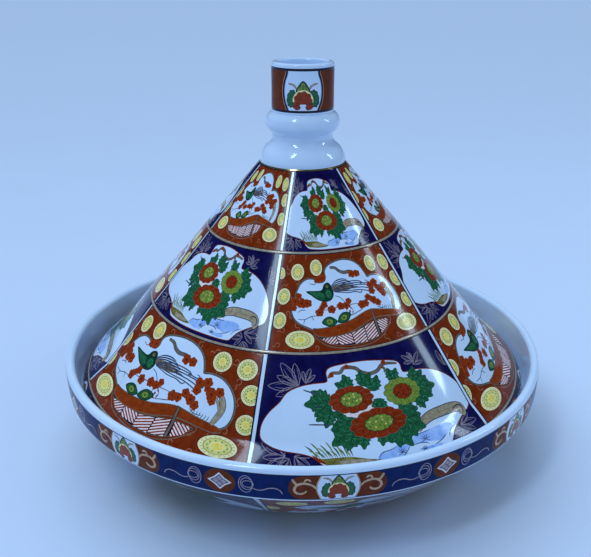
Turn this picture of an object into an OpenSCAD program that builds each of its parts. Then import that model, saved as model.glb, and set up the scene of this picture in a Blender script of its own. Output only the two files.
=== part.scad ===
// Porcelain serving tagine: a wide shallow dish on a foot ring, and a conical
// lid with a two-bulge knob that ends in an open cup.
// Millimetres, +Z up, origin at the centre of the foot ring's resting face.

/* [Dish] */
// Outer diameter of the dish at its rim
dish_d = 320; // [300:1:340]
// Height of the dish from the table to the top of its lip
dish_h = 65.5; // [62:0.5:72]
// Thickness of the upright rim wall
rim_wall = 5.8; // [5:0.1:7]
// How much narrower the rim wall is at its foot, on the radius
rim_lean = 1.2; // [1:0.1:2]
// Height of the rim wall's outer foot above the lid ledge
rim_toe = 3.5; // [2:0.1:5]
// Height of the rim wall above the lid ledge, lip included
rim_h = 23.5; // [20:0.5:26]
// Width of the lid ledge
ledge_w = 11; // [8:0.5:14]
// Thickness of the dish floor
floor_t = 6; // [5:0.5:8]
// Radius of the flat part of the dish floor
floor_r = 96; // [85:1:105]
// Radius where the bowl's straight flared wall turns in to its underside
heel_r = 127.5; // [122:0.5:130]
// Height of that turn above the table
heel_h = 12.8; // [11:0.1:15]
// Outer diameter of the foot ring
foot_d = 190; // [170:1:200]
// Height of the foot ring
foot_h = 6; // [4:0.5:9]
// Width of the foot ring
foot_w = 9; // [6:0.5:12]

/* [Lid] */
// Clearance between the lid's edge and the rim wall, on the radius
lid_gap = 2.2; // [1.5:0.1:4]
// Thickness of the lid wall
lid_wall = 5; // [4:0.5:6]
// Height of the lid from its lower edge to the knob collar
lid_h = 146.2; // [135:0.1:155]
// Height of the rounded shoulder above the lid's edge
shoulder_h = 20; // [16:0.5:26]
// How far the shoulder stands out past the foot of the straight cone
shoulder_out = 16; // [12:0.5:20]
// Height of the upright border above the lid's edge
border_h = 8; // [6:0.5:10]
// Vertical clearance under the lid's edge
seat_gap = 0.3; // [0.2:0.05:0.5]

/* [Knob] */
// Radius of the lid at the foot of the knob collar
collar_r = 27.2; // [25:0.1:29]
// Height of the flared collar
collar_h = 13.4; // [12:0.1:15]
// Radius of the neck above the collar
neck_r = 19.3; // [17:0.1:20]
// Height of the neck
neck_h = 5; // [3:0.5:6]
// Height of the bulge above the neck
bulge_h = 13; // [11:0.5:14]
// Radius of the bulge at its widest
bulge_r = 23.6; // [22:0.1:25]
// Radius of the bore that runs up through the knob
bore_r = 13; // [11:0.5:14]
// Outer radius of the cup
cup_r = 19.4; // [18.5:0.1:20.5]
// Height of the cup
cup_h = 30; // [24:0.5:36]
// Thickness of the cup wall
cup_wall = 3.6; // [3:0.1:4.5]
// Thickness of the cup floor
cup_floor = 5; // [4:0.5:7]

/* [Hidden] */
$fn = 120;

white_glaze = "#f2f5fa";
bisque = "#e6dfd0";
iron_red = "#7d2a14";
cobalt = "#1c1a66";

// Quadratic curve from a to c, pulled towards b
function curve(a, b, c, n = 12) =
    [for (i = [0:n]) let (t = i / n) (1 - t) ^ 2 * a + 2 * t * (1 - t) * b + t ^ 2 * c];

// Points of an arc about a centre, from angle a0 to a1 in degrees
function arc(centre, r, a0, a1, n = 8) =
    [for (i = [0:n]) let (a = a0 + (a1 - a0) * i / n) centre + r * [cos(a), sin(a)]];

rim_r = dish_d / 2;
rim_foot_r = rim_r - rim_lean;
lip_r = rim_wall / 2;
ledge_z = dish_h - rim_h;
rim_foot_z = ledge_z + rim_toe;
ledge_r = rim_r - rim_wall - 1.6;
floor_z = foot_h + floor_t;
foot_r = foot_d / 2;

lid_edge_r = ledge_r - lid_gap;
lid_z = ledge_z + seat_gap;
collar_z = lid_z + lid_h;
cone_foot = [lid_edge_r - shoulder_out, lid_z + shoulder_h];
// Width of the lid wall measured level, from its slope
cone_slope = (cone_foot[0] - collar_r) / (collar_z - cone_foot[1]);
level_wall = lid_wall * sqrt(1 + cone_slope ^ 2);

neck_z = collar_z + collar_h;
bulge_z = neck_z + neck_h;
cup_z = bulge_z + bulge_h;
cup_bottom_r = neck_r - 0.2;

// Radius of the arc that is bulge_r wide at mid height and meets the cup's foot
bulge_rise = bulge_r - cup_bottom_r;
bulge_arc = ((bulge_h / 2) ^ 2 + bulge_rise ^ 2) / (2 * bulge_rise);

module dish_bowl() {
    heel = curve([foot_r, foot_h], [heel_r - 6, foot_h + 0.5], [heel_r, heel_h]);
    inside = curve([ledge_r - ledge_w, ledge_z - 1], [heel_r + 0.5, floor_z], [floor_r, floor_z]);
    color(white_glaze)
    rotate_extrude()
    polygon(concat(
        [[0, foot_h]], heel, [[rim_foot_r, rim_foot_z], [ledge_r, ledge_z], [ledge_r - ledge_w + 1, ledge_z]],
        inside, [[0, floor_z]]));
}

module dish_rim() {
    wall = curve([rim_foot_r, rim_foot_z], [rim_r, rim_foot_z + 3.5], [rim_r, dish_h - lip_r], 6);
    lip = arc([rim_r - lip_r, dish_h - lip_r], lip_r, 20, 180);
    color(cobalt)
    rotate_extrude()
    polygon(concat([[ledge_r, ledge_z]], wall, lip));
}

module dish_foot_ring() {
    color(bisque)
    rotate_extrude()
    polygon([
        [foot_r - foot_w, foot_h], [foot_r, foot_h], [foot_r - 1, 1.2], [foot_r - 2, 0],
        [foot_r - foot_w + 2, 0], [foot_r - foot_w + 1, 1.2]]);
}

module lid_cone() {
    border_z = lid_z + border_h;
    shoulder = curve(
        cone_foot,
        [cone_foot[0] + (cone_foot[1] - border_z) * cone_slope + 3, border_z + 2],
        [lid_edge_r, border_z - 3]);
    hollow = curve(
        [lid_edge_r - lid_wall - 1, lid_z],
        [lid_edge_r - lid_wall - 3, border_z],
        cone_foot - [level_wall, 0], 8);
    color(iron_red)
    rotate_extrude()
    polygon(concat(
        [[collar_r - level_wall, collar_z], [collar_r, collar_z]], shoulder,
        [[lid_edge_r, lid_z + 1.5], [lid_edge_r - 1.5, lid_z]], hollow));
}

module knob_stem() {
    skirt = curve([collar_r + 0.4, collar_z + 2], [collar_r - 0.8, neck_z - 6.4], [neck_r + 4, neck_z - 3.5], 8);
    throat = curve([neck_r + 3.8, neck_z - 3.3], [neck_r + 0.6, neck_z - 1], [neck_r, neck_z + 1.6], 6);
    bulge_turn = asin(bulge_h / 2 / bulge_arc);
    bulge = arc([bulge_r - bulge_arc, bulge_z + bulge_h / 2], bulge_arc, -bulge_turn, bulge_turn, 12);
    color(white_glaze)
    rotate_extrude()
    polygon(concat(
        [[collar_r - level_wall, collar_z], [collar_r, collar_z]], skirt, throat, bulge,
        [[bore_r, cup_z], [bore_r, neck_z]]));
}

module knob_cup() {
    lip_r = cup_wall / 2;
    lip = arc([cup_r - lip_r, cup_z + cup_h - lip_r], lip_r, 0, 180);
    color(cobalt)
    rotate_extrude()
    polygon(concat(
        [[0, cup_z], [cup_bottom_r, cup_z], [cup_r, cup_z + 2]], lip,
        [[cup_r - cup_wall, cup_z + cup_floor + 2], [cup_r - cup_wall - 2, cup_z + cup_floor],
         [0, cup_z + cup_floor]]));
}

dish_bowl();
dish_rim();
dish_foot_ring();
lid_cone();
knob_stem();
knob_cup();
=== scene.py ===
import math

import bmesh
import bpy
import numpy as np
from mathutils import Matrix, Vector, geometry


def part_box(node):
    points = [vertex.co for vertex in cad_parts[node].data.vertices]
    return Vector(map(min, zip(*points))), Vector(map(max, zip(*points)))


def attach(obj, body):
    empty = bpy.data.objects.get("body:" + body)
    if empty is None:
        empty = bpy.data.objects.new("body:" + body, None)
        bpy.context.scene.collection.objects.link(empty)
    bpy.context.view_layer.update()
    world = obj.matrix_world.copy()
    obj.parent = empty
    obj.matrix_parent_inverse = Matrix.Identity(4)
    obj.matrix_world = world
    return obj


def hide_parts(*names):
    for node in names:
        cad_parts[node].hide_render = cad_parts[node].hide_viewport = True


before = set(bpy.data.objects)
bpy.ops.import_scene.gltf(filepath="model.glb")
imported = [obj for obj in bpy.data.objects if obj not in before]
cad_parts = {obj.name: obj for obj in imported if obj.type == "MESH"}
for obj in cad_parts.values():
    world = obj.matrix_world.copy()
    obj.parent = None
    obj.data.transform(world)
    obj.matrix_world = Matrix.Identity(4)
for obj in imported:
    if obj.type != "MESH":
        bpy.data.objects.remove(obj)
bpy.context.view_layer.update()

MM = 0.001

# ---- the pot's shape

# Corners of the CAD nodes' boxes in millimetres
LOW = {}
HIGH = {}
for part in ("dish_rim", "dish_foot_ring", "lid_cone", "knob_stem", "knob_cup"):
    low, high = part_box(part)
    LOW[part] = np.array(low) / MM
    HIGH[part] = np.array(high) / MM

RIM_R, _, LIP_Z = HIGH["dish_rim"]
LEDGE_Z = LOW["dish_rim"][2]
FOOT_R, _, FOOT_H = HIGH["dish_foot_ring"]
LID_R, _, COLLAR_Z = HIGH["lid_cone"]
LID_Z = LOW["lid_cone"][2]
CUP_Z = HIGH["knob_stem"][2]
CUP_R, _, CUP_TOP = HIGH["knob_cup"]

# The other measures are those of part.scad: _R is a radius, _H and _Z are heights
RIM_WALL = 5.8
RIM_LEAN = 1.2
RIM_TOE = 3.5
LEDGE_W = 11
FLOOR_T = 6
FLOOR_R = 96
HEEL_R = 127.5
HEEL_Z = 12.8
FOOT_W = 9
COLLAR_R = 27.2
COLLAR_H = 13.4
NECK_R = 19.3
NECK_H = 5
BULGE_R = 23.6
BORE_R = 13
CUP_WALL = 3.6
CUP_FLOOR = 5
LID_WALL = 5
SHOULDER_H = 20
SHOULDER_OUT = 16
BORDER_H = 8


def curve(a, b, c, n=16):
    """Quadratic curve from a to c, pulled towards b."""
    t = np.linspace(0, 1, n + 1)[:, None]
    return (1 - t) ** 2 * np.array(a) + 2 * t * (1 - t) * np.array(b) + t ** 2 * np.array(c)


def arc(centre, r, a0, a1, n=12):
    """Arc about a centre, angles in degrees."""
    a = np.radians(np.linspace(a0, a1, n + 1))[:, None]
    return np.array(centre) + r * np.hstack([np.cos(a), np.sin(a)])


def straight(a, b, n):
    """Evenly spaced points from a to b."""
    return np.linspace(a, b, n + 1)


CONE_FOOT = np.array([LID_R - SHOULDER_OUT, LID_Z + SHOULDER_H])
CONE_SLOPE = (CONE_FOOT[0] - COLLAR_R) / (COLLAR_Z - CONE_FOOT[1])
LEVEL_WALL = LID_WALL * math.hypot(1, CONE_SLOPE)
UNROLL = math.sin(math.atan(CONE_SLOPE))
BORDER_Z = LID_Z + BORDER_H
RIM_FOOT = np.array([RIM_R - RIM_LEAN, LEDGE_Z + RIM_TOE])
LIP = RIM_WALL / 2
FLOOR_Z = FOOT_H + FLOOR_T
LEDGE_R = RIM_R - RIM_WALL - 1.6
NECK_Z = COLLAR_Z + COLLAR_H
BULGE_Z = NECK_Z + NECK_H

SHOULDER = curve(
    CONE_FOOT,
    [CONE_FOOT[0] + (CONE_FOOT[1] - BORDER_Z) * CONE_SLOPE + 3, BORDER_Z + 2],
    [LID_R, BORDER_Z - 3])
BOWL_OUT = np.vstack([
    curve([FOOT_R, FOOT_H], [HEEL_R - 6, FOOT_H + 0.5], [HEEL_R, HEEL_Z], 18)[:-1],
    straight([HEEL_R, HEEL_Z], RIM_FOOT, 24)])
RIM_OUT = curve(RIM_FOOT, RIM_FOOT + [RIM_LEAN, RIM_TOE], [RIM_R, LIP_Z - LIP], 14)


def placed(name, data):
    """A new object in the scene."""
    made = bpy.data.objects.new(name, data)
    bpy.context.collection.objects.link(made)
    return made


class Profile:
    """A wall's outline, walked by its own length s in millimetres."""

    def __init__(self, points, start=0.0):
        self.points = np.array(points, float)
        steps = np.linalg.norm(np.diff(self.points, axis=0), axis=1)
        self.s = start + np.concatenate([[0], np.cumsum(steps)])
        tangent = np.gradient(self.points, self.s, axis=0)
        tangent /= np.linalg.norm(tangent, axis=1)[:, None]
        self.normal = np.column_stack([-tangent[:, 1], tangent[:, 0]])
        if self.normal[len(self.s) // 2][0] < 0:
            self.normal *= -1

    def length_at_z(self, z):
        """The length s at which the wall has a height."""
        order = np.argsort(self.points[:, 1])
        return float(np.interp(z, self.points[order, 1], self.s[order]))

    def place(self, s, phi, lift):
        """Points and normals of the turned surface at length s and azimuth phi, -Y being phi 0."""
        r = np.interp(s, self.s, self.points[:, 0])
        z = np.interp(s, self.s, self.points[:, 1])
        nr = np.interp(s, self.s, self.normal[:, 0])
        nz = np.interp(s, self.s, self.normal[:, 1])
        norm = np.hypot(nr, nz)
        nr, nz = nr / norm, nz / norm
        r = r + nr * lift
        z = z + nz * lift
        points = np.column_stack([r * np.sin(phi), -r * np.cos(phi), z])
        normals = np.column_stack([nr * np.sin(phi), -nr * np.cos(phi), nz])
        return points, normals


# s on the lid is the distance from the cone's virtual tip, so the cone unrolls flat
LID = Profile(
    np.vstack([straight([COLLAR_R, COLLAR_Z], CONE_FOOT, 60)[:-1], SHOULDER,
               [[LID_R, LID_Z + 1.5]]]),
    start=COLLAR_R / UNROLL)
DISH = Profile(np.vstack([BOWL_OUT, RIM_OUT[1:]])[::-1])
CUP = Profile([[CUP_R, CUP_TOP - CUP_WALL / 2], [CUP_R, CUP_Z + 1.2]])

# ---- materials


def node(tree, kind, **values):
    """A new shader node. in_NAME sets an input, any other name a property."""
    made = tree.nodes.new(kind)
    for key, value in values.items():
        if key.startswith("in_"):
            made.inputs[key[3:].replace("_", " ")].default_value = value
        else:
            setattr(made, key, value)
    return made


def fired(name, deep, pale, grain, rough, bump=0.04, metal=0.0, coat=0.2, sheen=0.2):
    """A fired glaze or enamel: two tones mixed by brush-scale noise under a clear gloss."""
    made = bpy.data.materials.new(name)
    made.use_nodes = True
    tree = made.node_tree
    shader = tree.nodes["Principled BSDF"]
    for socket, value in (("Metallic", metal), ("IOR", 1.5), ("Specular IOR Level", sheen),
                          ("Coat Weight", coat), ("Coat Roughness", 0.04)):
        shader.inputs[socket].default_value = value
    place = node(tree, "ShaderNodeTexCoord")
    patches = node(tree, "ShaderNodeTexNoise", in_Scale=grain, in_Detail=3.0, in_Roughness=0.6)
    wear = node(tree, "ShaderNodeTexNoise", in_Scale=grain * 0.35, in_Detail=2.0)
    ramp = node(tree, "ShaderNodeValToRGB")
    for stop, position, tone in zip(ramp.color_ramp.elements, (0.3, 0.7), (deep, pale)):
        stop.position = position
        stop.color = (*tone, 1)
    gloss = node(tree, "ShaderNodeMapRange", in_To_Min=rough * 0.7, in_To_Max=rough * 1.5)
    relief = node(tree, "ShaderNodeBump", in_Strength=bump, in_Distance=0.0004)
    for source, output, target, socket in (
            (place, "Object", patches, "Vector"), (patches, "Fac", ramp, "Fac"),
            (ramp, "Color", shader, "Base Color"), (place, "Object", wear, "Vector"),
            (wear, "Fac", gloss, "Value"), (gloss, "Result", shader, "Roughness"),
            (patches, "Fac", relief, "Height"), (relief, "Normal", shader, "Normal")):
        tree.links.new(source.outputs[output], target.inputs[socket])
    return made


# Each ink's material name, deep and pale tone, grain, roughness, relief, metal, coat and sheen
INKS = {ink: fired(*look) for ink, look in {
    "white": ("glaze_white", (0.57, 0.70, 0.90), (0.63, 0.75, 0.94), 40, 0.09, 0.02, 0, 0.3, 0.5),
    "bisque": ("bisque", (0.55, 0.50, 0.42), (0.70, 0.66, 0.58), 900, 0.75, 0.3, 0, 0),
    "cobalt": ("enamel_cobalt", (0.003, 0.002, 0.040), (0.007, 0.007, 0.080), 160, 0.1, 0.03),
    "rim_blue": ("enamel_rim_blue", (0.001, 0.010, 0.070), (0.004, 0.020, 0.120),
                 160, 0.2, 0.03, 0, 0.03, 0.06),
    "rim_red": ("enamel_rim_red", (0.105, 0.020, 0.007), (0.175, 0.036, 0.011),
                220, 0.2, 0.06, 0, 0.03, 0.06),
    "silver": ("enamel_pale_lilac", (0.27, 0.21, 0.26), (0.42, 0.33, 0.40), 500, 0.16, 0.05),
    "line": ("enamel_line", (0.005, 0.003, 0.014), (0.014, 0.009, 0.026), 400, 0.12),
    "red": ("enamel_iron_red", (0.150, 0.015, 0.002), (0.235, 0.030, 0.004), 220, 0.12, 0.06),
    "petal": ("enamel_petal_red", (0.170, 0.013, 0.002), (0.320, 0.034, 0.005), 600, 0.12, 0.08),
    "blossom": ("enamel_blossom_red", (0.210, 0.022, 0.003), (0.350, 0.047, 0.006), 700, 0.12, 0.08),
    "orange": ("enamel_orange_brown", (0.195, 0.023, 0.003), (0.315, 0.048, 0.006), 300, 0.12, 0.06),
    "rust": ("enamel_rust", (0.30, 0.105, 0.055), (0.42, 0.170, 0.100), 500, 0.14, 0.05),
    "gold": ("gold_line", (0.34, 0.27, 0.20), (0.56, 0.47, 0.36), 500, 0.22, 0.05, 0.35),
    "goldline": ("gold_painted", (0.42, 0.235, 0.135), (0.62, 0.395, 0.250), 500, 0.2, 0.05, 0.1),
    "lilac": ("enamel_lilac_grey", (0.20, 0.16, 0.20), (0.34, 0.28, 0.33), 500, 0.16, 0.05),
    "edging": ("gilt_grey_brown", (0.17, 0.115, 0.085), (0.30, 0.225, 0.165), 500, 0.16, 0.05, 0.35),
    "gilt": ("gold_lustre", (0.72, 0.50, 0.14), (0.95, 0.72, 0.28), 300, 0.16, 0.05, 1.0),
    "leaf": ("enamel_leaf_green", (0.006, 0.055, 0.024), (0.022, 0.155, 0.060), 900, 0.12, 0.08),
    "fern": ("enamel_fern_green", (0.030, 0.200, 0.110), (0.070, 0.320, 0.160), 900, 0.12, 0.08),
    "deep": ("enamel_deep_green", (0.003, 0.022, 0.014), (0.006, 0.045, 0.026), 500, 0.12, 0.08),
    "sprout": ("enamel_yellow_green", (0.10, 0.17, 0.018), (0.27, 0.34, 0.06), 900, 0.12, 0.08),
    "cream": ("enamel_cream", (0.78, 0.66, 0.30), (0.95, 0.84, 0.46), 300, 0.12, 0.06),
    "pale": ("enamel_pale_green", (0.60, 0.56, 0.15), (0.78, 0.72, 0.26), 500, 0.12, 0.06),
    "yellow": ("enamel_yellow", (0.80, 0.55, 0.05), (0.95, 0.72, 0.12), 500, 0.12, 0.06),
    "pink": ("enamel_pink_white", (0.72, 0.58, 0.60), (0.90, 0.78, 0.80), 600, 0.12, 0.05),
    "sky": ("enamel_sky_blue", (0.20, 0.36, 0.78), (0.42, 0.58, 0.90), 220, 0.12, 0.06),
    "bark": ("enamel_bark", (0.22, 0.165, 0.11), (0.46, 0.38, 0.27), 600, 0.12, 0.08),
    "olive": ("enamel_olive", (0.075, 0.062, 0.012), (0.27, 0.24, 0.06), 420, 0.12, 0.08),
    "plume": ("enamel_plume_blue", (0.020, 0.030, 0.070), (0.055, 0.070, 0.14), 500, 0.12),
}.items()}

# ---- white bodies

SEGMENTS = 256
CREASE = math.radians(35)


def closed_lathe(name, outline, body, cad_node=None, ink="white"):
    """Turns a closed outline of (r, z) points about Z into a solid that rides on a body."""
    outline = np.array(outline, float)
    angle = np.linspace(0, 2 * math.pi, SEGMENTS, endpoint=False)
    points = []
    rings = []
    for r, z in outline:
        start = len(points)
        if r < 1e-6:
            points.append((0, 0, z * MM))
            rings.append([start] * SEGMENTS)
        else:
            ring = np.column_stack([r * np.sin(angle), -r * np.cos(angle), np.full(SEGMENTS, z)]) * MM
            points.extend(map(tuple, ring))
            rings.append(list(range(start, start + SEGMENTS)))
    faces = []
    for a, b in zip(rings, rings[1:] + rings[:1]):
        if a[0] == a[1] and b[0] == b[1]:
            continue
        for i in range(SEGMENTS):
            j = (i + 1) % SEGMENTS
            faces.append(list(dict.fromkeys([a[i], a[j], b[j], b[i]])))
    mesh = bpy.data.meshes.new(name)
    mesh.from_pydata(points, [], faces)
    mesh.materials.append(INKS[ink])
    made = placed(name, mesh)
    mesh.validate()
    fix_normals(mesh)
    mesh.shade_smooth()
    mesh.set_sharp_from_angle(angle=CREASE)
    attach(made, body)
    if cad_node:
        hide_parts(cad_node)


def fix_normals(mesh):
    """Turns every face of a closed mesh outwards."""
    work = bmesh.new()
    work.from_mesh(mesh)
    bmesh.ops.recalc_face_normals(work, faces=work.faces)
    work.to_mesh(mesh)
    work.free()


def dish_bodies():
    """The dish's glazed walls and its bare foot, one piece for each CAD node."""
    ledge_in = LEDGE_R - LEDGE_W
    bowl = np.vstack([
        straight([0, FOOT_H], [FOOT_R, FOOT_H], 10)[:-1],
        BOWL_OUT,
        [[LEDGE_R, LEDGE_Z], [ledge_in + 2, LEDGE_Z], [ledge_in + 0.8, LEDGE_Z - 0.3]],
        curve([ledge_in, LEDGE_Z - 1.2], [HEEL_R + 0.5, FLOOR_Z], [FLOOR_R, FLOOR_Z], 24),
        straight([FLOOR_R, FLOOR_Z], [0, FLOOR_Z], 10)[1:]])
    closed_lathe("bowl_wall", bowl, "dish", "dish_bowl")
    rim = np.vstack([
        RIM_OUT,
        arc([RIM_R - LIP, LIP_Z - LIP], LIP, 10, 180, 14),
        straight([RIM_R - RIM_WALL, LIP_Z - LIP], [LEDGE_R, LEDGE_Z], 8)[1:]])
    closed_lathe("rim_wall", rim, "dish", "dish_rim")
    foot_in = FOOT_R - FOOT_W
    foot = np.vstack([
        [[foot_in, FOOT_H], [FOOT_R, FOOT_H]],
        curve([FOOT_R - 0.8, 1.8], [FOOT_R - 1.1, 0.1], [FOOT_R - 2.2, 0], 6),
        curve([foot_in + 2.2, 0], [foot_in + 1.1, 0.1], [foot_in + 0.8, 1.8], 6)])
    closed_lathe("foot_ring", foot, "dish", "dish_foot_ring", "bisque")


def lid_bodies():
    """The lid's glazed walls, one piece for each CAD node."""
    edge_in = LID_R - LID_WALL
    cone_in = CONE_FOOT - [LEVEL_WALL, 0]
    collar_in = COLLAR_R - LEVEL_WALL
    cone = np.vstack([
        [[collar_in, COLLAR_Z]],
        LID.points[:-1],
        arc([LID_R - 1.5, LID_Z + 1.5], 1.5, 0, -90, 6),
        curve([edge_in - 1, LID_Z], [edge_in - 3, BORDER_Z], cone_in, 12),
        straight(cone_in, [collar_in, COLLAR_Z], 40)[1:-1]])
    closed_lathe("lid_wall", cone, "lid", "lid_cone")
    bulge_h = CUP_Z - BULGE_Z
    cup_foot_r = NECK_R - 0.2
    rise = BULGE_R - cup_foot_r
    radius = ((bulge_h / 2) ** 2 + rise ** 2) / (2 * rise)
    half = math.degrees(math.asin(bulge_h / 2 / radius))
    stem = np.vstack([
        [[collar_in + CONE_SLOPE * 0.3, COLLAR_Z]],
        [[COLLAR_R, COLLAR_Z]],
        curve([COLLAR_R + 0.4, COLLAR_Z + 2], [COLLAR_R - 0.8, NECK_Z - 6.4],
              [NECK_R + 4, NECK_Z - 3.5], 14),
        curve([NECK_R + 3.8, NECK_Z - 3.3], [NECK_R + 0.6, NECK_Z - 1], [NECK_R, NECK_Z + 1.6], 10),
        curve([NECK_R, BULGE_Z - 1.6], [NECK_R, BULGE_Z - 0.2], [NECK_R + 1, BULGE_Z + 0.5], 6),
        arc([BULGE_R - radius, BULGE_Z + bulge_h / 2], radius, -half + 12, half, 18),
        [[BORE_R, CUP_Z], [BORE_R, NECK_Z + 2]],
        curve([BORE_R, NECK_Z + 1], [BORE_R, NECK_Z - 1], [BORE_R + 1.5, NECK_Z - 3], 4)])
    closed_lathe("knob_stem_wall", stem, "lid", "knob_stem")
    lip = CUP_WALL / 2
    inner = CUP_R - CUP_WALL
    bottom = CUP_Z + CUP_FLOOR
    cup = np.vstack([
        [[0, CUP_Z], [cup_foot_r, CUP_Z]],
        curve([cup_foot_r + 0.1, CUP_Z + 0.1], [CUP_R, CUP_Z + 0.2], [CUP_R, CUP_Z + 1], 4),
        straight([CUP_R, CUP_Z + 3], [CUP_R, CUP_TOP - lip - 1], 8),
        arc([CUP_R - lip, CUP_TOP - lip], lip, 0, 180, 12),
        straight([inner, CUP_TOP - lip - 1], [inner, bottom + 3], 6),
        curve([inner, bottom + 2], [inner, bottom], [inner - 2, bottom], 4),
        [[0, bottom]]])
    closed_lathe("cup_wall", cup, "lid", "knob_cup")


# ---- vector drawing


def moved(points, x, y, turn=0.0, size=1.0):
    """Points scaled, turned by degrees and shifted."""
    c = math.cos(math.radians(turn))
    s = math.sin(math.radians(turn))
    points = np.asarray(points, float) * size
    return points @ np.array([[c, s], [-s, c]]) + [x, y]


def ray(x, y, rx, ry, turn, *parts):
    """Points on one ray from an ellipse's centre, at parts of its radii."""
    a = math.radians(turn)
    return [(x + rx * part * math.cos(a), y + ry * part * math.sin(a)) for part in parts]


def ellipse(x, y, rx, ry=None, turn=0.0):
    """Outline of an ellipse, turned by degrees, or of a circle."""
    ry = rx if ry is None else ry
    n = int(np.clip(max(rx, ry) * 7, 10, 36))
    a = np.linspace(0, 2 * math.pi, n, endpoint=False)
    return moved(np.column_stack([rx * np.cos(a), ry * np.sin(a)]), x, y, turn)


def slab(half, low, high):
    """A rectangle between two heights that reaches a little past a strip's ends."""
    end = half + 1
    return [(-end, low), (end, low), (end, high), (-end, high)]


def pill(half, height, radius):
    """A rectangle with rounded corners about the origin."""
    return np.vstack([arc([sx * (half - radius), sy * (height - radius)], radius, a, a + 90, 6)
                      for sx, sy, a in ((1, 1, 0), (-1, 1, 90), (-1, -1, 180), (1, -1, 270))])


def rounded(points, n=4, closed=True):
    """A Catmull-Rom curve through a few points."""
    p = np.asarray(points, float)
    if closed:
        p = np.vstack([p[-1], p, p[:2]])
    else:
        p = np.vstack([2 * p[0] - p[1], p, 2 * p[-1] - p[-2]])
    t = np.linspace(0, 1, n, endpoint=False)[:, None]
    pieces = []
    for a, b, c, d in zip(p, p[1:], p[2:], p[3:]):
        pieces.append(0.5 * (2 * b + (c - a) * t + (2 * a - 5 * b + 4 * c - d) * t ** 2
                             + (3 * b - a - 3 * c + d) * t ** 3))
    if not closed:
        pieces.append(p[-2:-1])
    return np.vstack(pieces)


def barrel(side):
    """A cartouche from the points of its right side, mirrored to the left."""
    right = rounded(side, 3, closed=False)
    return np.vstack([right, right[::-1] * [-1, 1]])


def stroke(points, width, tip=0.35, n=4):
    """Outline of a brush stroke along a curve, narrower at its ends by the factor tip."""
    path = rounded(points, n, closed=False)
    along = np.gradient(path, axis=0)
    along /= np.linalg.norm(along, axis=1)[:, None] + 1e-9
    side = np.column_stack([-along[:, 1], along[:, 0]])
    t = np.linspace(0, 1, len(path))
    half = width / 2 * (tip + (1 - tip) * np.sin(math.pi * t) ** 0.5)[:, None]
    return np.vstack([path + side * half, (path - side * half)[::-1]])


def widened(points, by):
    """A closed outline pushed outwards by a distance."""
    p = np.asarray(points, float)
    along = np.roll(p, -1, 0) - np.roll(p, 1, 0)
    along /= np.linalg.norm(along, axis=1)[:, None] + 1e-9
    out = np.column_stack([along[:, 1], -along[:, 0]])
    area = np.sum(p[:, 0] * np.roll(p[:, 1], -1) - p[:, 1] * np.roll(p[:, 0], -1))
    return p + out * (by if area > 0 else -by)


def wavy_disc(x, y, rx, ry, lobes, depth, turn=0.0):
    """A disc with a scalloped edge."""
    a = np.linspace(0, 2 * math.pi, lobes * 4, endpoint=False)
    r = 1 - depth * (0.5 - 0.5 * np.abs(np.cos(a * lobes / 2)) ** 0.7) * 2
    return moved(np.column_stack([rx * r * np.cos(a), ry * r * np.sin(a)]), x, y, turn)


def leaf_outline(length, width):
    """A leaf along +X with four teeth on each side, its stalk at the origin."""
    teeth = 4
    upper = []
    for i in range(teeth):
        t0 = (i + 0.15) / teeth
        t1 = (i + 0.95) / teeth
        w0 = math.sin(math.pi * min(t0 * 0.9 + 0.08, 1)) * width / 2
        w1 = math.sin(math.pi * min(t1 * 0.85 + 0.1, 1)) * width / 2
        upper.append([t0 * length, w0 * 0.72])
        upper.append([t1 * length, w1 * 1.08])
    upper = np.array(upper)
    lower = upper[::-1] * [1, -1]
    return np.vstack([[[0, 0]], upper, [[length * 1.06, 0]], lower])


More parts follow.
